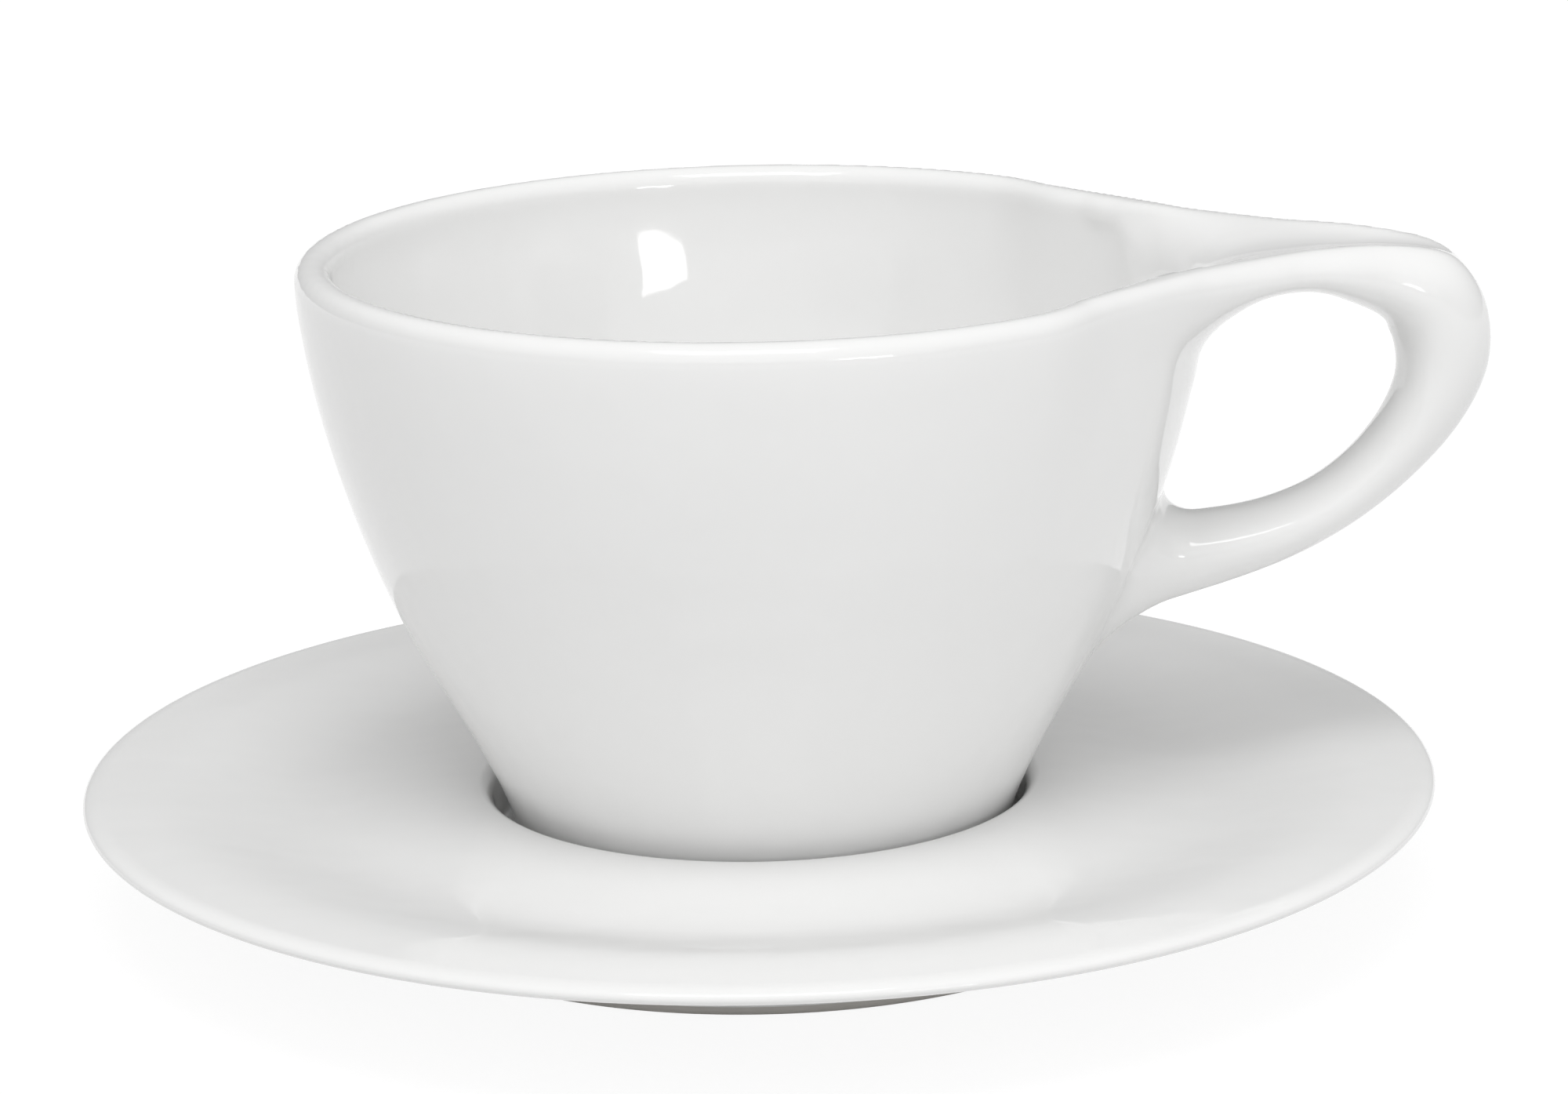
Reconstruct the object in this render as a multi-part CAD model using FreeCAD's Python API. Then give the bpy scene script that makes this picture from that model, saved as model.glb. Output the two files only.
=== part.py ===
"""An empty porcelain cup standing in the well of its saucer.

The cup has a round body and a teardrop rim: towards the handle the rim leaves the
circle, draws to a point and runs on, level, as the top of a loop handle.
Millimetres. The origin is on the saucer's axis where its foot ring stands, +Z is
up and the handle points along +X.
"""
import FreeCAD, Part
import math
import os

# ---- saucer ----
saucer_radius = 75.0        # outermost edge
saucer_height = 14.4        # crest of the rim above the table
saucer_wall = 4.2           # glazed thickness between the well and the rim
crest_inset = 2.3           # from the outermost edge in to the crest
edge_drop = 1.0             # from the crest down to the outermost edge
edge_thickness = 1.8        # the rolled edge, crest to underside
shoulder_inset = 9.5        # from the outermost edge in to where the plate turns level
shoulder_drop = 0.15        # that shoulder below the crest
ramp_inset = 14.5           # from the outermost edge in to the steepest of the plate
ramp_drop = 0.85            # that steepest ring below the crest
plate_dip = 2.3             # lowest ring of the plate below the crest
well_lip_drop = 1.4         # crown of the well's lip below the crest
well_lip_width = 3.0        # from the well's floor out to the lip's crown
well_lip_round = 1.6        # the lip rolls over into the well's wall within this
well_corner = 1.0           # rounded corner between the well's wall and its floor
dish_share = 0.56           # lowest ring, as a share of the way from the crown to the shoulder
well_floor = 7.0            # height of the flat that the cup stands on
saucer_foot_radius = 42.4   # outer edge of the foot ring's flat
saucer_foot_width = 3.0
saucer_foot_recess = 3.0    # height of the hollow inside the foot ring
saucer_neck_rise = 3.2      # the foot ring's outside turns into the plate within this
foot_round = 0.8            # rounded edges of both foot rings

# ---- cup body ----
cup_height = 66.0           # foot to rim crest
rim_radius = 49.7           # outside of the lip
cup_wall = 4.0              # wall, and the full round of the lip
neck_flare = 1.5            # from the foot ring's flat out to the body above it
cup_base = 4.4              # thickness under the coffee
foot_ring_radius = 26.9     # outer edge of the foot ring's flat
foot_ring_width = 3.4
foot_ring_height = 4.0
foot_recess = 2.2           # height of the hollow inside the foot ring
bowl_corner = 7.0           # the bowl's wall turns into its floor within this height
foot_clearance = 1.5        # from the foot ring out to the edge of the well's floor
cup_off_centre = 0.4        # the cup stands this far towards its handle

# ---- handle ----
handle_reach = 31.0         # from the lip out to the farthest point
handle_drop = 35.4          # from the rim down to the middle of the lower root
handle_step = 0.05          # the handle's top lies this far under the rim's crest
lip_edge_radius = 2.0       # rounded edge of the drawn-out rim

# ---- drawn-out rim ----
spout_length = 10.6         # from the lip out to where the inner slope ends
spout_depth = 11.0          # from the rim down to where the inner slope begins
spout_lift = 0.15           # the inner slope ends this far above the rim, clear of the bar's top

# Turns of the inner slope, in degrees from level at its outer end.
SLOPE_TURNS = (0, 12, 24, 36, 48, 60, 72, 82, 90)
# Places across the spout, as shares of the way from its middle to its crest.
ACROSS = (-1.3, -1.0, -0.75, -0.4, 0.0, 0.4, 0.75, 1.0, 1.3)

# How the body widens from the foot to the lip: share of the height, share of the widening.
BODY_SWELL = ((0.133, 0.170), (0.333, 0.473), (0.567, 0.743), (0.80, 0.924), (0.92, 0.982))

# The drawn-out rim and the bar that it becomes, from the wall out: distance from the
# lip, thickness below the rim, half width between the crests.
BAR = (
    (-10.1, 16.0, 24.8),
    (-6.1, 15.0, 21.5),
    (-2.1, 11.8, 17.9),
    (2.0, 7.7, 14.3),
    (6.2, 5.7, 11.5),
    (10.3, 5.8, 8.9),
    (15.0, 7.0, 7.1),
)

# The loop below the bar, down to the lower root: share of the reach, share of the
# drop, the way the loop runs in degrees below +X, thickness, half width.
LOOP = (
    (0.601, 0.119, 14.0, 8.4, 8.1),
    (0.751, 0.183, 51.5, 10.7, 7.5),
    (0.824, 0.350, 91.6, 10.3, 6.9),
    (0.771, 0.518, 116.0, 8.1, 6.6),
    (0.646, 0.675, 131.2, 6.4, 6.3),
    (0.439, 0.829, 153.8, 5.6, 6.2),
    (0.201, 0.929, 160.1, 6.4, 6.3),
    (-0.028, 0.980, 172.0, 8.4, 6.5),
    (-0.150, 0.998, 181.0, 10.3, 6.8),
    (-0.260, 1.008, 190.0, 12.0, 7.2),
    (-0.355, 1.013, 200.0, 13.0, 7.5),
)

ROUND = 0.5523              # pole distance of a curve that stands for a quarter circle


def point(radius, height):
    return FreeCAD.Vector(radius, 0, height)


def straight(start, end):
    return Part.LineSegment(point(*start), point(*end)).toShape()


def bow(start, middle, end):
    return Part.Arc(point(*start), point(*middle), point(*end)).toShape()


def smooth(points, first_way=None, last_way=None):
    """A spline through the points, leaving and arriving along the ways given."""
    spline = Part.BSplineCurve()
    ways = {}
    if first_way and last_way:
        ways = {"InitialTangent": point(*first_way), "FinalTangent": point(*last_way)}
    spline.interpolate(Points=[point(*p) for p in points], **ways)
    return spline


def turned(edges):
    """The solid that a closed outline makes when it is turned about the axis.

    The face's seam is put on the side away from the handle.
    """
    centre, axis = FreeCAD.Vector(0, 0, 0), FreeCAD.Vector(0, 0, 1)
    solid = Part.Face(Part.Wire(edges)).revolve(centre, axis, 360)
    solid.rotate(centre, axis, 180)
    return solid


def foot_ring(outer, width, recess, bottom):
    """Outline of a foot ring from the axis out, with its edges rounded, and where it ends."""
    soft = foot_round * (1 - math.sqrt(0.5))
    inner = outer - width
    wall_in, wall_out = inner - foot_round, outer + foot_round
    roof, low = bottom + recess, bottom + foot_round
    return [
        straight((0, roof), (wall_in - foot_round, roof)),
        bow((wall_in - foot_round, roof), (wall_in - soft, roof - soft), (wall_in, roof - foot_round)),
        straight((wall_in, roof - foot_round), (wall_in, low)),
        bow((wall_in, low), (wall_in + soft, bottom + soft), (inner, bottom)),
        straight((inner, bottom), (outer, bottom)),
        bow((outer, bottom), (wall_out - soft, bottom + soft), (wall_out, low)),
    ], (wall_out, low)


def saucer():
    """The plate: a well with a rolled lip, a dished ring, a level band and a rolled edge."""
    outline, ring_top = foot_ring(saucer_foot_radius, saucer_foot_width, saucer_foot_recess, 0.0)
    crest = (saucer_radius - crest_inset, saucer_height)
    shoulder = (saucer_radius - shoulder_inset, saucer_height - shoulder_drop)
    ramp = (saucer_radius - ramp_inset, saucer_height - ramp_drop)
    edge = (saucer_radius, saucer_height - edge_drop)
    edge_under = (saucer_radius - edge_drop, saucer_height - edge_thickness)
    floor_edge = foot_ring_radius + foot_clearance
    crown = (floor_edge + well_lip_width, saucer_height - well_lip_drop)
    dish = (crown[0] + dish_share * (shoulder[0] - crown[0]), saucer_height - plate_dip)
    wall_top = (crown[0] - well_lip_round, crown[1] - well_lip_round)
    wall_foot = (floor_edge + well_corner, well_floor + well_corner)
    turn = well_corner * math.sqrt(0.5)
    corner_middle = (floor_edge + turn, wall_foot[1] - turn)
    plate_under = dish[1] - saucer_wall
    neck = (ring_top[0] + 0.2 * saucer_neck_rise, plate_under - saucer_neck_rise)
    neck_top = (neck[0] + 1.2 * saucer_neck_rise, plate_under - 0.3 * saucer_neck_rise)
    brim_under = (shoulder[0], shoulder[1] - 0.8 * saucer_wall)
    rise = (brim_under[0] - neck_top[0], brim_under[1] - neck_top[1])
    outline += [
        smooth([ring_top, neck, neck_top], (0, 1), rise).toShape(),
        smooth([neck_top, brim_under, edge_under], rise, (1, 0.2)).toShape(),
        smooth([edge_under, edge], (1, 0.2), (0, 1)).toShape(),
        smooth([edge, crest], (0, 1), (-1, 0)).toShape(),
        smooth([crest, shoulder, ramp, dish, crown], (-1, 0), (-1, 0)).toShape(),
        smooth([crown, wall_top], (-1, 0), (-0.15, -1)).toShape(),
        straight(wall_top, wall_foot),
        bow(wall_foot, corner_middle, (floor_edge, well_floor)),
        straight((floor_edge, well_floor), (0, well_floor)),
        straight((0, well_floor), (0, saucer_foot_recess)),
    ]
    return turned(outline)


def body_curve():
    """Outside of the body from the foot ring up to where the lip begins to round over."""
    low = well_floor + foot_ring_height
    high = well_floor + cup_height - cup_wall / 2
    neck = foot_ring_radius + neck_flare
    points = [(neck, low)]
    for rise, swell in BODY_SWELL:
        points.append((neck + swell * (rim_radius - neck), low + rise * (high - low)))
    points.append((rim_radius, high))
    return smooth(points, (0.35, 1), (0, 1))


def inside_of(curve, depth, lowest):
    """Points that follow the curve at the depth given, from the top down to a height."""
    points = []
    steps = 7
    for i in range(steps + 1):
        along = curve.LastParameter + (curve.FirstParameter - curve.LastParameter) * i / steps
        place, way = curve.value(along), curve.tangent(along)[0]
        spot = (place.x - depth * way.z, place.z + depth * way.x)
        if spot[1] > lowest:
            points.append(spot)
    return points


def radius_at(curve, height):
    """Radius of the body's outside at a height."""
    low, high = curve.FirstParameter, curve.LastParameter
    for _ in range(40):
        middle = (low + high) / 2
        if curve.value(middle).z < height:
            low = middle
        else:
            high = middle
    return curve.value(low).x


def cup_body():
    """The thrown body: foot ring, wall, fully rounded lip and bowl."""
    outline, ring_top = foot_ring(foot_ring_radius, foot_ring_width, foot_recess, well_floor)
    neck = (foot_ring_radius + neck_flare, well_floor + foot_ring_height)
    outside = body_curve()
    half = cup_wall / 2
    eighth = half * math.sqrt(0.5)
    lip = rim_radius - half
    rim = well_floor + cup_height
    spring = rim - half
    floor = well_floor + foot_recess + cup_base
    inner = inside_of(outside, cup_wall, floor + bowl_corner)
    bowl = [(0.62 * inner[-1][0], floor + 0.25 * bowl_corner), (0, floor)]
    outline += [
        smooth([ring_top, neck], (0.1, 1), (0.35, 1)).toShape(),
        outside.toShape(),
        bow((rim_radius, spring), (lip + eighth, spring + eighth), (lip, rim)),
        bow((lip, rim), (lip - eighth, spring + eighth), (lip - half, spring)),
        smooth(inner + bowl, (0, -1), (-1, 0)).toShape(),
        straight((0, floor), (0, well_floor + foot_recess)),
    ]
    return turned(outline)


def wall_core():
    """All that lies inside the middle of the cup's wall, where the handle must not reach."""
    inner = inside_of(body_curve(), cup_wall / 2, well_floor)
    above = well_floor + cup_height + 10
    return turned([
        straight((0, above), (inner[0][0], above)),
        straight((inner[0][0], above), inner[0]),
        smooth(inner).toShape(),
        straight(inner[-1], (0, inner[-1][1])),
        straight((0, inner[-1][1]), (0, above)),
    ])


def bezier(poles):
    curve = Part.BezierCurve()
    curve.setPoles(poles)
    return curve.toShape()


def section(centre_x, centre_z, down, thick, half_width, edge_radius):
    """One section of the handle, square to its run: nearly flat outside, rounded inside."""
    turn = math.radians(down)
    outward = FreeCAD.Vector(math.sin(turn), 0, math.cos(turn))
    side = FreeCAD.Vector(0, 1, 0)
    centre = FreeCAD.Vector(centre_x, 0, centre_z)
    half = thick / 2
    hull = thick - edge_radius
    flat = half_width - edge_radius

    def at(across, out):
        return centre + side * across + outward * out

    edges = [bezier([at(-flat, half), at(flat, half)])]
    for sign in (1, -1):
        corner = [
            at(sign * flat, half),
            at(sign * (flat + ROUND * edge_radius), half),
            at(sign * half_width, half - edge_radius * (1 - ROUND)),
            at(sign * half_width, half - edge_radius),
        ]
        under = [
            at(sign * half_width, half - edge_radius),
            at(sign * half_width, half - edge_radius - ROUND * hull),
            at(sign * ROUND * half_width, -half),
            at(0, -half),
        ]
        if sign == 1:
            edges += [bezier(corner), bezier(under)]
        else:
            edges += [bezier(under[::-1]), bezier(corner[::-1])]
    return Part.Wire(edges)


def handle():
    """The level bar with its wide root, and the loop that it turns down into."""
    lip = rim_radius + cup_off_centre
    top = well_floor + cup_height - handle_step
    sections = []
    for i, (out, thick, crest) in enumerate(BAR):
        before, after = BAR[max(i - 1, 0)], BAR[min(i + 1, len(BAR) - 1)]
        slant = (after[2] - before[2]) / (after[0] - before[0])
        edge = lip_edge_radius * math.hypot(1, slant)
        sections.append(section(lip + out, top - thick / 2, 0, thick, crest + edge, edge))
    for reach, drop, down, thick, half_width in LOOP:
        edge_radius = min(0.9 * half_width, 0.55 * thick)
        sections.append(section(lip + reach * handle_reach, top - drop * handle_drop, down,
                                thick, half_width, edge_radius))
    return Part.makeLoft(sections, True)


def spout():
    """The space above the inner slope, where the bowl rolls out towards the handle."""
    rim = well_floor + cup_height
    lip = rim_radius + cup_off_centre
    wall_inside = radius_at(body_curve(), rim - spout_depth) - cup_wall + cup_off_centre
    slope = lip + spout_length - wall_inside
    rows = []
    for turn in SLOPE_TURNS:
        x = lip + spout_length - slope * math.sin(math.radians(turn))
        depth = spout_depth * (1 - math.cos(math.radians(turn))) - spout_lift
        rows.append(trough(x, crest_half_width(x - lip), depth, rim))
    crest_radius = rim_radius - cup_wall / 2
    for step in (1, 2, 3):
        x = wall_inside - step * cup_wall
        chord = math.sqrt(crest_radius**2 - (x - cup_off_centre)**2)
        narrower, deeper = 0.6 * step * cup_wall, 0.75 * step * cup_wall
        rows.append(trough(x, chord - narrower, spout_depth + deeper, rim))
    return patch(rows, 3, 3).extrude(FreeCAD.Vector(0, 0, 3 * spout_depth))


def trough(x, crest, depth, rim):
    """Poles across the spout: deepest in the middle, level at the crests, then rising."""
    poles = []
    for share in ACROSS:
        inside = max(1 - share * share, 0.0)
        outside = max(abs(share) - 1, 0.0)
        poles.append(FreeCAD.Vector(x, share * crest, rim - depth * inside**1.8 + 2.5 * outside))
    return poles


def patch(rows, along, across):
    """A smooth face over a net of poles, of the degrees given."""
    def knots(count, degree):
        inner = count - degree
        return [float(i) for i in range(inner + 1)], [degree + 1] + [1] * (inner - 1) + [degree + 1]

    u_knots, u_mults = knots(len(rows), along)
    v_knots, v_mults = knots(len(rows[0]), across)
    surface = Part.BSplineSurface()
    surface.buildFromPolesMultsKnots(rows, u_mults, v_mults, u_knots, v_knots, False, False, along, across)
    return surface.toShape()


def crest_half_width(out):
    """Half width between the crests of the drawn-out rim, at a distance out from the lip."""
    for (near, _, wide), (far, _, narrow) in zip(BAR, BAR[1:]):
        if near <= out <= far:
            return wide + (narrow - wide) * (out - near) / (far - near)
    return BAR[-1][2]


def cup():
    shift = FreeCAD.Vector(cup_off_centre, 0, 0)
    body, core = cup_body(), wall_core()
    body.translate(shift)
    core.translate(shift)
    whole = body.fuse(handle().cut(core))
    return whole.cut(spout())


os.makedirs("parts", exist_ok=True)
for name, solid in (("saucer", saucer()), ("cup", cup())):
    print(name, "valid", solid.isValid(), "solids", len(solid.Solids), "volume", round(solid.Volume))
    solid.exportStep(f"parts/{name}.step")
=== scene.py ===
import math

import bpy
import numpy as np
from mathutils import Matrix, Vector


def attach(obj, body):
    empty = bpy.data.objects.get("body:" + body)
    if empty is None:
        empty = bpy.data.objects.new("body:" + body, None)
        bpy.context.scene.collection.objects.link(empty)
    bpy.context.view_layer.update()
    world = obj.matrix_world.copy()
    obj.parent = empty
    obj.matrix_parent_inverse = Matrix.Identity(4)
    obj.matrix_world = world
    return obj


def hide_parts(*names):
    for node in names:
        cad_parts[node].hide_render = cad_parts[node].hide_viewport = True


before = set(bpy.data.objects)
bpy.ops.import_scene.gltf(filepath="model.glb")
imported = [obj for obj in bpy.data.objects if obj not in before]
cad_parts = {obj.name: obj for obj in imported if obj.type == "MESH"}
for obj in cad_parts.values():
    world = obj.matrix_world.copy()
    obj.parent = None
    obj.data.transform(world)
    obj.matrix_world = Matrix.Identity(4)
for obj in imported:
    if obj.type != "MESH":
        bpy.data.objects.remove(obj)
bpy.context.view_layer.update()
scene = bpy.context.scene
scene.view_settings.view_transform = "Standard"

# ---------------------------------------------------------------------------
# Camera. It looks along the table from in front of the cup, a little from
# above, through a long lens, with the handle to the right.
# ---------------------------------------------------------------------------
MM = 0.001
camera_distance = 537.2 * MM
camera_height = 182.7 * MM
camera_down = 0.2613        # radians, as are the next two
camera_turn = 0.0061
camera_roll = -0.0194
camera_lens = 115.55        # focal length in millimetres, and below it the sensor's width
camera_sensor = 36.0
camera_near = 10 * MM

forward = Vector((math.sin(camera_turn) * math.cos(camera_down),
                  math.cos(camera_turn) * math.cos(camera_down),
                  -math.sin(camera_down)))
level_right = Vector((math.cos(camera_turn), -math.sin(camera_turn), 0))
level_up = level_right.cross(forward)
right = math.cos(camera_roll) * level_right + math.sin(camera_roll) * level_up
upward = math.cos(camera_roll) * level_up - math.sin(camera_roll) * level_right

lens = bpy.data.cameras.new("camera")
lens.sensor_width = camera_sensor
lens.lens = camera_lens
lens.clip_start = camera_near
camera = bpy.data.objects.new("camera", lens)
camera.location = (0, -camera_distance, camera_height)
camera.rotation_euler = Matrix((right, upward, -forward)).transposed().to_euler()
scene.collection.objects.link(camera)
scene.camera = camera

# ---------------------------------------------------------------------------
# Table and light. A plain white sheet lies under the saucer. The room is bright
# overhead and in front and dim behind, with a soft box high above, a wide low
# panel in front and a small window at the front right.
# ---------------------------------------------------------------------------
table_half = 3.0            # metres
table_gap = 0.05 * MM
table_shade = 0.75          # colour of the sheet that takes the shadow
table_white = 1.10          # strength of its white where it is seen plainly
table_plain = 0.82          # share of that white in what is seen
room_low = 0.50             # strength at the horizon, overhead, and what the front and right add
room_top = 1.02
room_front = 0.36
room_right = 0.04
room_rise = (0.10, 0.60)    # where on the way up the low light becomes the top's
slant_rise = (0.08, 0.42)   # and where the front's and the right's come in
lamp_aim = Vector((0, 0, 40 * MM))


def calculated(nodes, operation, first, second):
    """One step of arithmetic on sockets or numbers."""
    step = nodes.new("ShaderNodeMath")
    step.operation = operation
    for socket, value in zip(step.inputs, (first, second)):
        if isinstance(value, (int, float)):
            socket.default_value = value
        else:
            nodes.id_data.links.new(value, socket)
    return step.outputs[0]


def seen_plainly(nodes):
    """1 for a ray from the camera, a mirror or a clear body, 0 for the light on the set."""
    path = nodes.new("ShaderNodeLightPath")
    either = calculated(nodes, "MAXIMUM", path.outputs["Is Camera Ray"], path.outputs["Is Glossy Ray"])
    return calculated(nodes, "MAXIMUM", either, path.outputs["Is Transmission Ray"])


def eased(nodes, value, start, end, low, high):
    """From the low value to the high one as the input goes from start to end."""
    step = nodes.new("ShaderNodeMapRange")
    step.interpolation_type = "SMOOTHSTEP"
    for label, number in (("From Min", start), ("From Max", end), ("To Min", low), ("To Max", high)):
        step.inputs[label].default_value = number
    nodes.id_data.links.new(value, step.inputs["Value"])
    return step.outputs["Result"]


table_mesh = bpy.data.meshes.new("table")
table_mesh.from_pydata(
    [(x * table_half, y * table_half, -table_gap) for x, y in ((-1, -1), (1, -1), (1, 1), (-1, 1))],
    [], [(0, 1, 2, 3)])
table = bpy.data.objects.new("table", table_mesh)
scene.collection.objects.link(table)
table_finish = bpy.data.materials.new("white_sheet")
table_finish.use_nodes = True
nodes, links = table_finish.node_tree.nodes, table_finish.node_tree.links
nodes.clear()
sheet = nodes.new("ShaderNodeBsdfDiffuse")
sheet.inputs["Color"].default_value = (table_shade, table_shade, table_shade, 1)
bright = nodes.new("ShaderNodeEmission")
bright.inputs["Strength"].default_value = table_white
choose = nodes.new("ShaderNodeMixShader")
links.new(calculated(nodes, "MULTIPLY", seen_plainly(nodes), table_plain), choose.inputs[0])
links.new(sheet.outputs[0], choose.inputs[1])
links.new(bright.outputs[0], choose.inputs[2])
surface_out = nodes.new("ShaderNodeOutputMaterial")
links.new(choose.outputs[0], surface_out.inputs["Surface"])
table_mesh.materials.append(table_finish)

room = bpy.data.worlds.new("room")
scene.world = room
room.use_nodes = True
nodes, links = room.node_tree.nodes, room.node_tree.links
nodes.clear()
where = nodes.new("ShaderNodeTexCoord")
split = nodes.new("ShaderNodeSeparateXYZ")
links.new(where.outputs["Generated"], split.inputs[0])
height = eased(nodes, split.outputs["Z"], *room_rise, room_low, room_top)
toward_front = calculated(nodes, "MULTIPLY", split.outputs["Y"], -room_front)
toward_right = calculated(nodes, "MULTIPLY", split.outputs["X"], room_right)
slant = calculated(nodes, "MULTIPLY", calculated(nodes, "ADD", toward_front, toward_right),
                   eased(nodes, split.outputs["Z"], *slant_rise, 0.0, 1.0))
walls = nodes.new("ShaderNodeBackground")
links.new(calculated(nodes, "MAXIMUM", calculated(nodes, "ADD", height, slant), 0.0),
          walls.inputs["Strength"])
world_out = nodes.new("ShaderNodeOutputWorld")
links.new(walls.outputs[0], world_out.inputs["Surface"])


def soft_box(name, toward, rise, away, width, depth, watts):
    """A lamp that faces the cup: degrees to the right of the camera, degrees up, metres away."""
    light = bpy.data.lights.new(name, "AREA")
    light.shape = "RECTANGLE"
    light.size = width
    light.size_y = depth
    light.energy = watts
    side, up = math.radians(toward), math.radians(rise)
    place = Vector((math.sin(side) * math.cos(up), -math.cos(side) * math.cos(up), math.sin(up))) * away
    lamp = bpy.data.objects.new(name, light)
    lamp.location = place + lamp_aim
    lamp.rotation_euler = (-place).to_track_quat("-Z", "Y").to_euler()
    scene.collection.objects.link(lamp)


soft_box("high_box", -4, 66, 1.5, 0.75, 0.55, 6.0)
soft_box("front_panel", 2, 15, 1.9, 3.4, 0.55, 2.6)
soft_box("window", 27, 9, 1.8, 0.40, 0.22, 1.8)

# ---------------------------------------------------------------------------
# Saucer. A thick porcelain plate, thrown and dipped in clear gloss glaze: a
# flat well with a rolled lip, a dished ring, a level band and a rolled edge,
# on a foot ring whose flat is wiped bare; that flat's colour is the bare body's,
# darkened with painted shade for the shadow under the saucer.
# ---------------------------------------------------------------------------
saucer_radius = 75.0        # millimetres, from here down
saucer_height = 14.4
saucer_wall = 4.2
crest_inset = 2.3           # from the outermost edge in to each part of the upper side
shoulder_inset = 9.5
ramp_inset = 14.5
dish_share = 0.56           # of the way from the well's lip out to the shoulder
edge_drop = 1.0             # from the crest down to each part
shoulder_drop = 0.15
ramp_drop = 0.85
plate_dip = 2.3
well_lip_drop = 1.4
edge_thickness = 1.8
well_lip_width = 3.0
well_lip_round = 1.6
well_corner = 1.0
well_floor = 7.0
well_floor_radius = 28.4
saucer_foot_radius = 42.4
saucer_foot_width = 3.0
saucer_foot_recess = 3.0
saucer_neck_rise = 3.2
neck_flare = 0.2            # shares of that rise
neck_spread = 1.2
neck_turn = 0.3
brim_share = 0.8            # of the wall, where the underside nears the edge
foot_round = 0.8
saucer_inside_box = 0.02
saucer_turns = 288


def flowing(points, first_way, last_way, spacing):
    """Evenly spaced points on the smooth curve through the points given."""
    p = np.array(points, float)
    knots = np.concatenate([[0], np.cumsum(np.hypot(*np.diff(p, axis=0).T))])
    ends = [np.array(way, float) / np.hypot(*way) for way in (first_way, last_way)]
    span = np.diff(knots)
    n = len(p)
    left, rhs = np.zeros((n, n)), np.zeros((n, 2))
    left[0, 0] = left[-1, -1] = 1
    rhs[0], rhs[-1] = ends
    for i in range(1, n - 1):
        left[i, i - 1:i + 2] = 1 / span[i - 1], 2 / span[i - 1] + 2 / span[i], 1 / span[i]
        rhs[i] = 3 * ((p[i] - p[i - 1]) / span[i - 1]**2 + (p[i + 1] - p[i]) / span[i]**2)
    slope = np.linalg.solve(left, rhs)
    fine = np.linspace(0, knots[-1], max(3, int(math.ceil(knots[-1] / spacing)) + 1))
    part = np.clip(np.searchsorted(knots, fine, side="right") - 1, 0, n - 2)
    h = span[part][:, None]
    t = ((fine - knots[part]) / span[part])[:, None]
    return ((2 * t**3 - 3 * t**2 + 1) * p[part] + (t**3 - 2 * t**2 + t) * h * slope[part]
            + (3 * t**2 - 2 * t**3) * p[part + 1] + (t**3 - t**2) * h * slope[part + 1])


def rounded(centre, radius, start, end, spacing=0.25):
    """Points on an arc, its angles in degrees from +X towards +Z."""
    count = max(4, int(math.ceil(abs(math.radians(end - start)) * radius / spacing)) + 1)
    turn = np.radians(np.linspace(start, end, count))
    return np.stack([centre[0] + radius * np.cos(turn), centre[1] + radius * np.sin(turn)], 1)


def level(start, end, spacing):
    """Points on a straight run."""
    count = max(2, int(math.ceil(math.dist(start, end) / spacing)) + 1)
    return np.linspace(start, end, count)


def joined(runs):
    """One line of points from several runs, each point once."""
    line = np.concatenate(runs)
    keep = np.concatenate([[True], np.hypot(*np.diff(line, axis=0).T) > 1e-4])
    return line[keep]


def turned_mesh(name, line, turns):
    """The closed surface that a line from the axis and back to it makes when it is turned."""
    ring = line[1:-1]
    turn = np.arange(turns) * 2 * math.pi / turns
    x = ring[:, :1] * np.cos(turn)
    y = ring[:, :1] * np.sin(turn)
    z = np.repeat(ring[:, 1:], turns, axis=1)
    around = np.stack([x, y, z], 2).reshape(-1, 3)
    low, high = len(around), len(around) + 1
    points = np.concatenate([around, [(0, 0, line[0, 1]), (0, 0, line[-1, 1])]]) * MM
    i, j = np.meshgrid(np.arange(len(ring) - 1), np.arange(turns), indexing="ij")
    k = (j + 1) % turns
    quads = np.stack([i * turns + j, i * turns + k, (i + 1) * turns + k, (i + 1) * turns + j], 2)
    last = (len(ring) - 1) * turns
    faces = quads.reshape(-1, 4).tolist()
    faces += [(low, (j + 1) % turns, j) for j in range(turns)]
    faces += [(high, last + j, last + (j + 1) % turns) for j in range(turns)]
    mesh = bpy.data.meshes.new(name)
    mesh.from_pydata(points.tolist(), [], faces)
    mesh.shade_smooth()
    mesh.update()
    return mesh


foot_inner = saucer_foot_radius - saucer_foot_width
crest = (saucer_radius - crest_inset, saucer_height)
shoulder = (saucer_radius - shoulder_inset, saucer_height - shoulder_drop)
ramp = (saucer_radius - ramp_inset, saucer_height - ramp_drop)
edge = (saucer_radius - saucer_inside_box, saucer_height - edge_drop)
edge_under = (saucer_radius - edge_drop, saucer_height - edge_thickness)
crown = (well_floor_radius + well_lip_width, saucer_height - well_lip_drop)
dish = (crown[0] + dish_share * (shoulder[0] - crown[0]), saucer_height - plate_dip)
lip_in = (crown[0] - well_lip_round, crown[1] - well_lip_round)
well_foot = (well_floor_radius + well_corner, well_floor + well_corner)
plate_under = dish[1] - saucer_wall
ring_top = (saucer_foot_radius + foot_round, foot_round)
neck = (ring_top[0] + neck_flare * saucer_neck_rise, plate_under - saucer_neck_rise)
neck_top = (neck[0] + neck_spread * saucer_neck_rise, plate_under - neck_turn * saucer_neck_rise)
brim_under = (shoulder[0], shoulder[1] - brim_share * saucer_wall)
wall_in = foot_inner - foot_round

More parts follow.
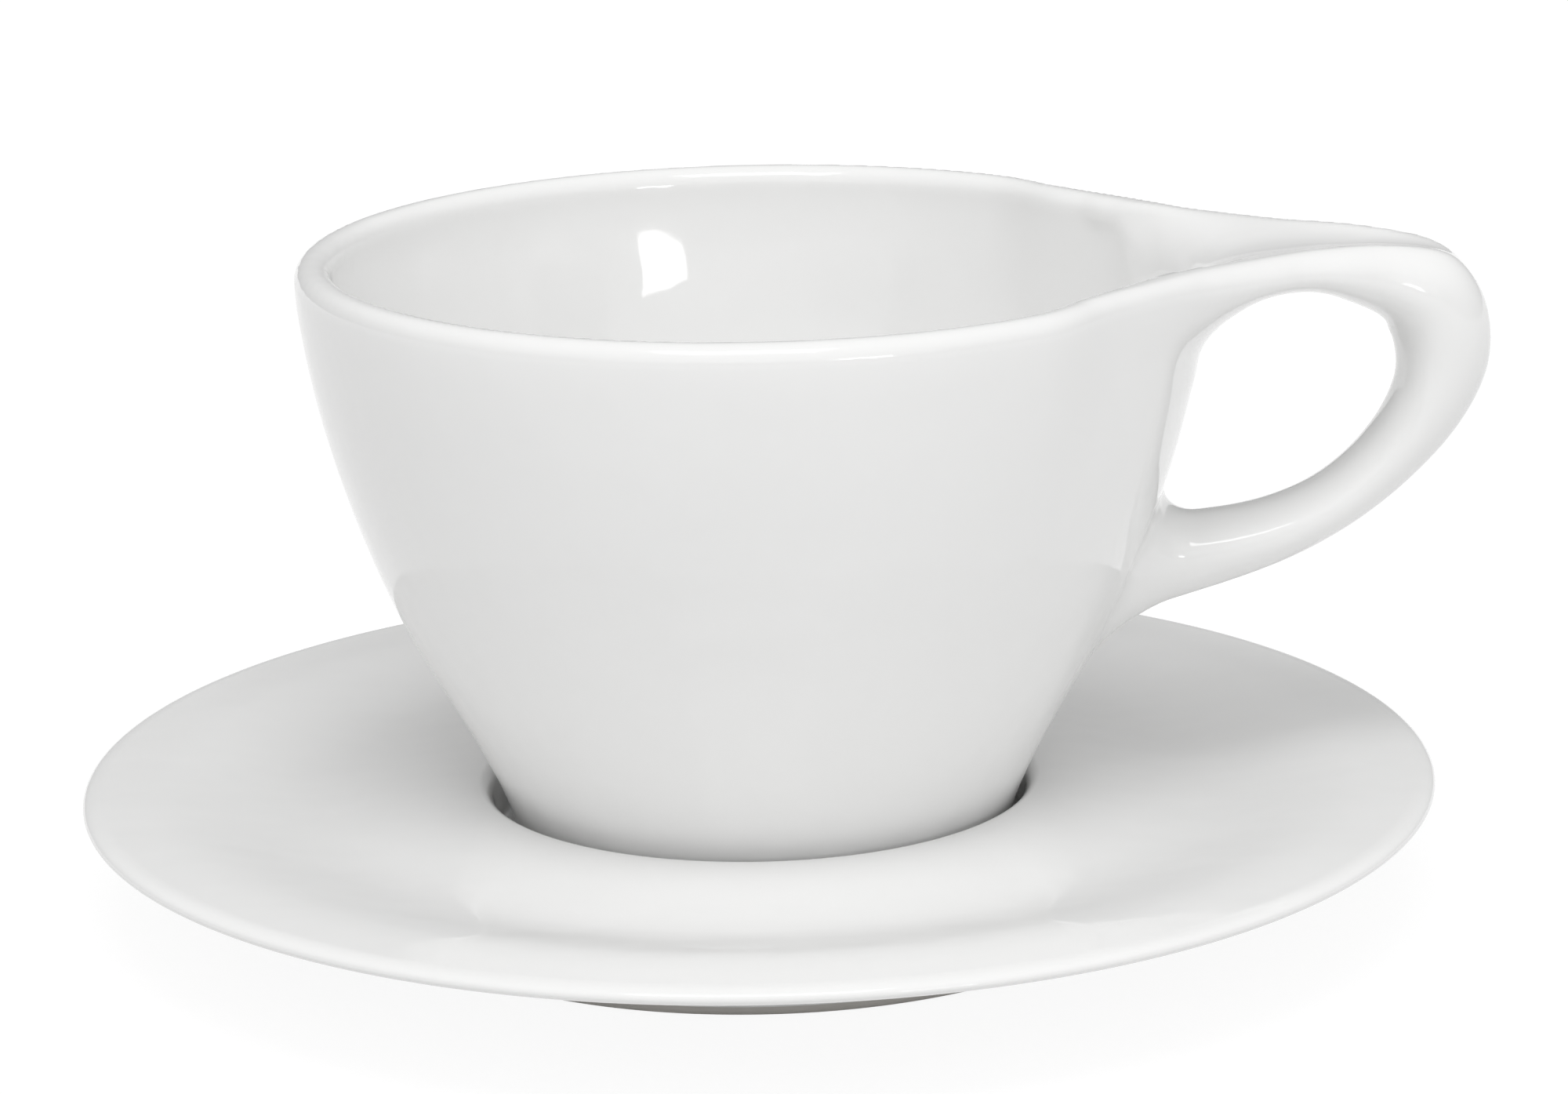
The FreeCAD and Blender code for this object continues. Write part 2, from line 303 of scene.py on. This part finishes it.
saucer_line = joined([
    level((0, saucer_foot_recess), (wall_in - foot_round, saucer_foot_recess), 1.6),
    rounded((wall_in - foot_round, saucer_foot_recess - foot_round), foot_round, 90, 0),
    level((wall_in, saucer_foot_recess - foot_round), (wall_in, foot_round), 0.8),
    rounded((foot_inner, foot_round), foot_round, 180, 270),
    level((foot_inner, 0), (saucer_foot_radius, 0), 0.8),
    rounded((saucer_foot_radius, foot_round), foot_round, 270, 360),
    flowing([ring_top, neck, neck_top, brim_under, edge_under], (0, 1), (1, 0.2), 0.9),
    flowing([edge_under, edge], (1, 0.2), (0, 1), 0.18),
    flowing([edge, crest], (0, 1), (-1, 0), 0.18),
    flowing([crest, shoulder, ramp, dish, crown], (-1, 0), (-1, 0), 0.7),
    flowing([crown, lip_in], (-1, 0), (-0.15, -1), 0.18),
    level(lip_in, well_foot, 0.5),
    rounded((well_floor_radius, well_floor + well_corner), well_corner, 0, -90),
    level((well_floor_radius, well_floor), (0, well_floor), 1.6),
])
saucer_mesh = turned_mesh("saucer_glazed", saucer_line, saucer_turns)
saucer_piece = bpy.data.objects.new("saucer_glazed", saucer_mesh)
scene.collection.objects.link(saucer_piece)

def fired_glaze():
    """Clear gloss over a white body: a little wavy from the firing, its tone changing faintly
    where it lies thick, with a pin-sized speck or two."""
    glaze = bpy.data.node_groups.new("fired_glaze", "ShaderNodeTree")
    for label, kind, value in (("Body", "NodeSocketColor", (0.86, 0.86, 0.86, 1)),
                               ("Tone", "NodeSocketFloat", 0.02),
                               ("Wave", "NodeSocketFloat", 0.04),
                               ("Specks", "NodeSocketFloat", 0.5)):
        socket = glaze.interface.new_socket(label, in_out="INPUT", socket_type=kind)
        socket.default_value = value
    for label, kind in (("Color", "NodeSocketColor"), ("Roughness", "NodeSocketFloat"),
                        ("Height", "NodeSocketFloat")):
        glaze.interface.new_socket(label, in_out="OUTPUT", socket_type=kind)
    nodes, links = glaze.nodes, glaze.links
    inlet = nodes.new("NodeGroupInput")
    outlet = nodes.new("NodeGroupOutput")
    place = nodes.new("ShaderNodeTexCoord")

    def noise(scale, detail, rough=0.5, shift=(0, 0, 0)):
        """Noise fixed to the object, its scale in features a metre."""
        move = nodes.new("ShaderNodeMapping")
        move.inputs["Location"].default_value = shift
        links.new(place.outputs["Object"], move.inputs["Vector"])
        cloud = nodes.new("ShaderNodeTexNoise")
        cloud.inputs["Scale"].default_value = scale
        cloud.inputs["Detail"].default_value = detail
        cloud.inputs["Roughness"].default_value = rough
        links.new(move.outputs[0], cloud.inputs["Vector"])
        return cloud.outputs["Fac"]

    def worked(operation, first, second):
        return calculated(nodes, operation, first, second)

    uneven = worked("SUBTRACT", noise(38, 2, 0.5, (3, 1, 2)), 0.5)
    tone = worked("ADD", worked("MULTIPLY", uneven, inlet.outputs["Tone"]), 1.0)
    spots = nodes.new("ShaderNodeTexVoronoi")
    spots.inputs["Scale"].default_value = 58
    links.new(place.outputs["Object"], spots.inputs["Vector"])
    pin = eased(nodes, spots.outputs["Distance"], 0.010, 0.020, 1.0, 0.0)
    chance = nodes.new("ShaderNodeSeparateColor")
    links.new(spots.outputs["Color"], chance.inputs[0])
    rare = worked("GREATER_THAN", chance.outputs[0], 0.9)
    speck = worked("MULTIPLY", worked("MULTIPLY", pin, rare), inlet.outputs["Specks"])
    tint = nodes.new("ShaderNodeVectorMath")
    tint.operation = "SCALE"
    links.new(inlet.outputs["Body"], tint.inputs[0])
    links.new(worked("MULTIPLY", tone, worked("SUBTRACT", 1.0, speck)), tint.inputs["Scale"])
    links.new(tint.outputs[0], outlet.inputs["Color"])
    links.new(eased(nodes, noise(55, 3, 0.6), 0.3, 0.7, 0.04, 0.09), outlet.inputs["Roughness"])
    slow = worked("MULTIPLY", noise(45, 1, 0.4, (5, 2, 7)), 3.0)
    short = worked("MULTIPLY", noise(130, 1, 0.4, (1, 6, 3)), 2.2)
    orange_peel = worked("MULTIPLY", noise(520, 1), 0.03)
    waves = worked("ADD", worked("ADD", slow, short), orange_peel)
    links.new(worked("MULTIPLY", waves, inlet.outputs["Wave"]), outlet.inputs["Height"])
    return glaze


glaze = fired_glaze()
porcelain = (0.86, 0.86, 0.855)
# Height over which the glaze gives way to the bare foot colour, which on the saucer holds painted
# shade.
bare_and_shade_edge = 0.15 * MM


def glazed(name, body, tone, wave, specks, bare_and_shade, bare_and_shade_below):
    """White body under clear glaze, and the bare body where the foot ring is wiped; on the saucer that
    bare colour is darkened with painted shade.
    """
    finish = bpy.data.materials.new(name)
    finish.use_nodes = True
    nodes, links = finish.node_tree.nodes, finish.node_tree.links
    nodes.clear()
    coat = nodes.new("ShaderNodeGroup")
    coat.node_tree = glaze
    for label, value in (("Body", (*body, 1)), ("Tone", tone), ("Wave", wave), ("Specks", specks)):
        coat.inputs[label].default_value = value
    bump = nodes.new("ShaderNodeBump")
    bump.inputs["Strength"].default_value = 1.0
    bump.inputs["Distance"].default_value = MM
    links.new(coat.outputs["Height"], bump.inputs["Height"])
    glossy = nodes.new("ShaderNodeBsdfPrincipled")
    glossy.inputs["IOR"].default_value = 1.5
    links.new(coat.outputs["Color"], glossy.inputs["Base Color"])
    links.new(coat.outputs["Roughness"], glossy.inputs["Roughness"])
    links.new(bump.outputs[0], glossy.inputs["Normal"])
    # The bare foot's colour, which on the saucer is darkened with painted shade for the shadow under
    # it.
    bare_and_shade_surface = nodes.new("ShaderNodeBsdfPrincipled")
    bare_and_shade_surface.inputs["Base Color"].default_value = (*bare_and_shade, 1)
    bare_and_shade_surface.inputs["Roughness"].default_value = 0.7
    place = nodes.new("ShaderNodeTexCoord")
    split = nodes.new("ShaderNodeSeparateXYZ")
    links.new(place.outputs["Object"], split.inputs[0])
    # Below the given height the bare colour takes over, painted shade on the saucer.
    bare_and_shade_mask = eased(nodes, split.outputs["Z"], bare_and_shade_below, bare_and_shade_below + bare_and_shade_edge, 1.0, 0.0)
    mix = nodes.new("ShaderNodeMixShader")
    links.new(bare_and_shade_mask, mix.inputs[0])
    links.new(glossy.outputs[0], mix.inputs[1])
    links.new(bare_and_shade_surface.outputs[0], mix.inputs[2])
    out = nodes.new("ShaderNodeOutputMaterial")
    links.new(mix.outputs[0], out.inputs["Surface"])
    return finish


# The saucer's wiped foot: the bare body's colour darkened with painted shade, standing in for the
# shadow under the saucer.
saucer_bare_and_shade = (0.55, 0.53, 0.50)
saucer_bare_and_shade_below = 1.0 * MM
saucer_mesh.materials.append(glazed("saucer_glaze_and_shade", porcelain, 0.03, 0.03, 0.45,
                                    saucer_bare_and_shade, saucer_bare_and_shade_below))
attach(saucer_piece, "root")
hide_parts("saucer")

# ---------------------------------------------------------------------------
# Cup. Thick white porcelain, thrown and then drawn out at one side: the rim
# leaves its circle, runs to a point and becomes the flat top of a loop handle
# that is luted to the wall below. Glazed inside and out, foot wiped bare.
# ---------------------------------------------------------------------------
cup_axis = 0.4              # millimetres and heights above the table, from here down
cup_foot = 7.0
cup_top = 73.0
rim_radius = 49.7
cup_wall = 4.0
lip = cup_wall / 2
lip_centre = rim_radius - lip
neck_radius = 28.4
neck_height = 11.0
body_swell = ((19.0, 32.0), (31.0, 38.5), (45.0, 44.25), (59.0, 48.1), (66.2, 49.32))
bowl_floor = 13.6
bowl_corner = 11.0
cup_foot_radius = 26.9
cup_foot_width = 3.4
cup_foot_recess = 2.2

# The wall is pinched in a little on each side of the spout, more towards the rim.
pinch = 1.5
pinch_middle = math.radians(38.5)
pinch_reach = math.radians(15)
pinch_rise = (42, 70)

# The drawn-out rim: distance out, half width between its crests, thickness under it,
# radius of its rounded edge.
drawn_rim = ((31.0, 30.0, 17.0, 2.0), (35.0, 28.6, 16.6, 2.0), (39.0, 25.2, 15.8, 2.0),
             (43.0, 21.6, 14.6, 2.0), (47.0, 18.1, 12.0, 2.1), (51.0, 14.7, 8.4, 2.3),
             (55.0, 11.6, 5.9, 2.6), (59.0, 8.9, 5.4, 2.7), (63.0, 7.1, 6.0, 3.0),
             (67.0, 5.9, 7.6, 3.5), (71.0, 5.4, 9.0, 4.0))
# The handle's run: distance out, height, thickness, half width.
handle_run = ((54.0, 69.9, 6.0, 13.5), (60.4, 70.05, 5.9, 11.2), (65.1, 69.5, 7.0, 9.4),
              (69.2, 68.6, 8.5, 8.1), (73.4, 66.5, 10.6, 7.5), (75.66, 60.6, 10.3, 6.9),
              (74.1, 54.5, 8.1, 6.6), (70.2, 48.95, 6.35, 6.3), (63.8, 43.45, 5.55, 6.2),
              (56.4, 39.95, 6.4, 6.3), (49.2, 38.1, 8.0, 6.5), (41.5, 36.6, 10.0, 6.8))
handle_step = 0.2
handle_reach = 10
handle_side = (0.9, 0.55)   # of the half width and of the thickness, for its rounded edge

# The slope that the bowl rolls out over: where it ends and starts, how deep its round would
# get at the start, and the share of the way in where the round gives way to a straight run.
spout_end = 60.7
spout_start = 45.0
spout_depth = 11.0
slope_turn = 0.95
slope_round = 3.0
slope_least = 0.02
slope_rise = 3              # beyond the crests, for each millimetre sideways
slope_lean = 0.6
slope_widens = (44, 55)     # distance out over which it fills the width between the crests

# How the parts run together, and the distances out and heights over which that changes.
grown_from = (31, 36, 24)   # the handle's side: distance out, half width, height
handle_out = (60, 69)
handle_under = (52, 59)
fillet_turns = (52, 62)
root_fillet = 5.5
wing_fillet = 2.0
edge_comes = (31, 40)
edge_goes = (46, 60)
edge_clear = 6
edge_fillet = 0.6
top_soft = 0.25
cup_cell = 0.8


def along(table, column, where):
    """Smooth values between the rows of a short table, read at the places given."""
    rows = np.array(table)
    knots, values = rows[:, 0], rows[:, column]
    step = np.diff(values) / np.diff(knots)
    slope = np.concatenate([[step[0]], (step[1:] + step[:-1]) / 2, [step[-1]]])
    part = np.clip(np.searchsorted(knots, where, side="right") - 1, 0, len(knots) - 2)
    h = np.diff(knots)[part]
    t = np.clip((where - knots[part]) / h, 0, 1)
    return ((2 * t**3 - 3 * t**2 + 1) * values[part] + (t**3 - 2 * t**2 + t) * h * slope[part]
            + (3 * t**2 - 2 * t**3) * values[part + 1] + (t**3 - t**2) * h * slope[part + 1])


# The outside of the body as heights and radii, run on past both ends.
body_line = flowing([(neck_height, neck_radius), *body_swell, (cup_top - lip, rim_radius)],
                    (1, 0.35), (1, 0), 0.1)
past_foot = (neck_height - 6, neck_radius - 1.8)
past_top = (cup_top + 20, rim_radius)
body_line = np.concatenate([[past_foot], body_line, [past_top]])
body_slope = np.gradient(body_line[:, 1], body_line[:, 0])


def union_round(a, b, r):
    """Two solids as one, with a fillet between them where they meet squarely."""
    return np.maximum(r, np.minimum(a, b)) - np.hypot(np.maximum(r - a, 0), np.maximum(r - b, 0))


def common_round(a, b, r):
    """What two solids share, with its edge rounded."""
    return -union_round(-a, -b, r)


def union_soft(a, b, reach):
    """Two solids as one, run together where they meet at a shallow angle."""
    near = np.maximum(reach - np.abs(a - b), 0)
    return np.minimum(a, b) - near * near / (4 * reach)


def body_field(r, z):
    """The thrown body: wall, fully rounded lip, bowl and foot ring."""
    wide = np.interp(z, body_line[:, 0], body_line[:, 1])
    outside = (r - wide) / np.hypot(1, np.interp(z, body_line[:, 0], body_slope))
    bowl = common_round(outside + cup_wall, bowl_floor - z, bowl_corner)
    ring_inside = cup_foot_radius - cup_foot_width - foot_round
    recess = common_round(r - ring_inside, z - cup_foot - cup_foot_recess, foot_round)
    wall = common_round(outside, cup_foot - z, foot_round)
    wall = common_round(wall, -recess, foot_round)
    wall = np.maximum(wall, -bowl)
    return np.where(z > cup_top - lip, np.hypot(r - lip_centre, z - cup_top + lip) - lip, wall)


def section(out, side, thick, half, edge):
    """A bar that is nearly flat outside and rounded inside."""
    top = thick / 2
    deep = thick - edge
    beside = np.abs(side) - (half - edge)
    corner = np.hypot(np.maximum(beside, 0), np.maximum(out - (top - edge), 0)) - edge
    flat = np.where(beside < 0, out - top, corner)
    u, v = side / half, (top - edge - out) / deep
    k = np.hypot(u, v)
    hull = k * (k - 1) / np.maximum(np.hypot(u / half, v / deep), 1e-6)
    return np.where(out > top - edge, flat, hull)


handle_line = flowing([row[:2] for row in handle_run], (1, 0.02), (-1, -0.2), handle_step)
handle_way = np.gradient(handle_line, axis=0)
handle_way /= np.hypot(*handle_way.T)[:, None]
reached = [np.hypot(*(handle_line - row[:2]).T).argmin() for row in handle_run]
handle_sizes = [(at, *row[2:]) for at, row in zip(reached, handle_run)]


def handle_field(x, y, z):
    """The loop: sections square to its run, the nearest one at each point."""
    near = np.zeros(len(x), int)
    at_once = 20000
    for start in range(0, len(x), at_once):
        part = slice(start, start + at_once)
        near[part] = ((x[part, None] - handle_line[:, 0])**2
                      + (z[part, None] - handle_line[:, 1])**2).argmin(1)
    spot, way = handle_line[near], handle_way[near]
    dx, dz = x - spot[:, 0], z - spot[:, 1]
    ahead = dx * way[:, 0] + dz * way[:, 1]
    out = -dx * way[:, 1] + dz * way[:, 0]
    place = near + ahead / handle_step
    thick = along(handle_sizes, 1, place)
    half = along(handle_sizes, 2, place)
    edge = np.minimum(handle_side[0] * half, handle_side[1] * thick)
    return np.maximum(section(out, y, thick, half, edge), np.abs(ahead) - handle_reach)


def ease(value, low, high):
    """0 below the low value, 1 above the high one, smooth between."""
    t = np.clip((value - low) / (high - low), 0, 1)
    return t * t * (3 - 2 * t)


def drawn_out(x, y, z):
    """The hull under the drawn-out rim, the slope that the bowl rolls out over, the rounding
    where that meets the hull, and the rim's rounded edge."""
    at = np.clip(x, drawn_rim[0][0], drawn_rim[-1][0])
    crest, deep, edge = [along(drawn_rim, column, at) for column in (1, 2, 3)]
    slant = (along(drawn_rim, 1, at + 0.05) - along(drawn_rim, 1, at - 0.05)) / 0.1
    lean = np.hypot(1, slant)
    beside = (np.abs(y) - crest) / lean
    below = cup_top - edge - z
    top = np.where(beside > 0, np.hypot(np.maximum(beside, 0), below) - edge, z - cup_top)
    half = crest + edge * lean
    keel = deep - edge
    k = np.hypot(y / half, below / keel)
    hull = k * (k - 1) / np.maximum(np.hypot(y / half**2, below / keel**2), 1e-6)
    hull = np.where(below < 0, top, hull)
    out = np.maximum((spout_end - x) / (spout_end - spout_start), 0)
    arc = np.minimum(out, slope_turn)
    steep = slope_turn / math.sqrt(1 - slope_turn**2)
    depth = spout_depth * (1 - np.sqrt(1 - arc**2) + steep * (out - arc))
    wide = ease(x, *slope_widens)
    inner = crest - lip * lean * 0.8 * (1 - wide)
    share = np.clip(np.abs(y) / inner, 0, 1)
    valley = (1 - share**(2.6 - 0.6 * wide))**(1 + 0.8 * wide)
    slope = z - np.where(share < 1, cup_top - depth * valley,
                         cup_top + slope_rise * (np.abs(y) - inner))
    slope /= np.hypot(1, slope_lean * (1 - wide))
    soft = (1 - share**2) * slope_round + slope_least
    return hull, slope, soft, np.hypot(beside, below) - edge


def cup_field(x, y, z):
    """How far each point lies outside the cup, in millimetres: less than zero inside it."""
    under_top = cup_top - z
    r = np.hypot(x - cup_axis, y)
    turn = np.abs(np.abs(np.arctan2(y, x - cup_axis)) - pinch_middle)
    pinched = np.where(turn < pinch_reach, 0.5 + 0.5 * np.cos(math.pi * turn / pinch_reach), 0)
    r = r + pinch * pinched * ease(z, *pinch_rise)
    field = body_field(r, z)
    near = (x > grown_from[0]) & (np.abs(y) < grown_from[1]) & (z > grown_from[2])
    r, x, y, z = r[near], x[near], y[near], z[near]
    bar, slope, soft, edge = drawn_out(x, y, z)
    turn_down = np.maximum(ease(x, *handle_out), 1 - ease(z, *handle_under))
    grown = bar * (1 - turn_down) + handle_field(x, y, z) * turn_down
    mid_wall = np.interp(z, body_line[:, 0], body_line[:, 1]) - lip
    grown = np.maximum(grown, 2 * (mid_wall - r))
    high = ease(z, *fillet_turns)
    whole = (high * union_soft(field[near], grown, wing_fillet)
             + (1 - high) * union_round(field[near], grown, root_fillet))
    whole = common_round(whole, slope, soft)
    edge = edge + edge_clear * ease(x, *edge_goes) + edge_clear * (1 - ease(x, *edge_comes))
    field[near] = union_soft(whole, edge, edge_fillet)
    return -union_soft(-field, under_top, top_soft)


def skin(field, low, high, cell, passes):
    """The surface where a field is zero: four-sided faces, evened out, each corner set on it."""
    low = np.array(low, float)
    count = np.ceil((np.array(high) - low) / cell).astype(int) + 1
    axes = [low[i] + cell * np.arange(count[i]) for i in range(3)]
    value = field(*[g.ravel() for g in np.meshgrid(*axes, indexing="ij")]).reshape(count)
    inside = value < 0
    corners = [(i, j, k) for i in (0, 1) for j in (0, 1) for k in (0, 1)]
    cells = count - 1
    total = np.zeros((*cells, 3))
    hits = np.zeros(cells)
    for a in corners:
        for axis in range(3):
            if a[axis]:
                continue
            b = tuple(a[i] + (i == axis) for i in range(3))
            va, vb = [value[tuple(slice(c[i], c[i] + cells[i]) for i in range(3))] for c in (a, b)]
            cross = (va < 0) != (vb < 0)
            part = np.where(cross, va / np.where(cross, va - vb, 1), 0)
            for i in range(3):
                total[..., i] += cross * (a[i] + (part if i == axis else 0))
            hits += cross
    index = -np.ones(cells, int)
    used = hits > 0
    index[used] = np.arange(used.sum())
    points = low + (np.argwhere(used) + total[used] / hits[used][:, None]) * cell
    faces = []
    for axis in range(3):
        one, two = [i for i in range(3) if i != axis]
        start = [slice(1, count[i] - 1) for i in range(3)]
        start[axis] = slice(0, count[axis] - 1)
        ahead = list(start)
        ahead[axis] = slice(1, count[axis])
        changes = inside[tuple(start)] != inside[tuple(ahead)]
        spots = np.argwhere(changes) + [s.start for s in start]
        outward = inside[tuple(spots.T)]
        ring = []
        for da, db in ((-1, -1), (0, -1), (0, 0), (-1, 0)):
            spot = spots.copy()
            spot[:, one] += da
            spot[:, two] += db
            ring.append(index[tuple(spot.T)])
        ring = np.stack(ring, 1)
        flip = outward if axis == 1 else ~outward
        ring[flip] = ring[flip][:, ::-1]
        faces.append(ring)
    faces = np.concatenate(faces)
    edges = np.concatenate([faces[:, [i, (i + 1) % 4]] for i in range(4)])
    step, farthest, least = 0.02, 0.6, 0.05
    for turn in range(passes):
        if turn < passes - 1:
            mean, meets = np.zeros_like(points), np.zeros(len(points))
            np.add.at(mean, edges[:, 0], points[edges[:, 1]])
            np.add.at(meets, edges[:, 0], 1)
            points = 0.5 * points + 0.5 * mean / meets[:, None]
        for _ in range(2):
            here = field(*points.T)
            rise = np.stack([(field(*(points + step * way).T) - field(*(points - step * way).T))
                             for way in np.eye(3)], 1) / (2 * step)
            steep = np.maximum((rise**2).sum(1), least)
            points -= np.clip(here / steep, -farthest, farthest)[:, None] * rise
    return points, faces


cup_points, cup_faces = skin(cup_field, (-51, -51.6, cup_foot - 1), (83, 51.6, cup_top + 1.5),
                             cup_cell, 4)
cup_mesh = bpy.data.meshes.new("cup_glazed")
cup_mesh.from_pydata((cup_points * MM).tolist(), [], cup_faces.tolist())
cup_mesh.shade_smooth()
cup_mesh.update()
cup_piece = bpy.data.objects.new("cup_glazed", cup_mesh)
scene.collection.objects.link(cup_piece)
cup_bare = (0.70, 0.68, 0.65)
cup_bare_below = (cup_foot + 0.4) * MM
cup_mesh.materials.append(glazed("cup_glaze", porcelain, 0.03, 0.06, 0.0, cup_bare, cup_bare_below))
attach(cup_piece, "root")
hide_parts("cup")
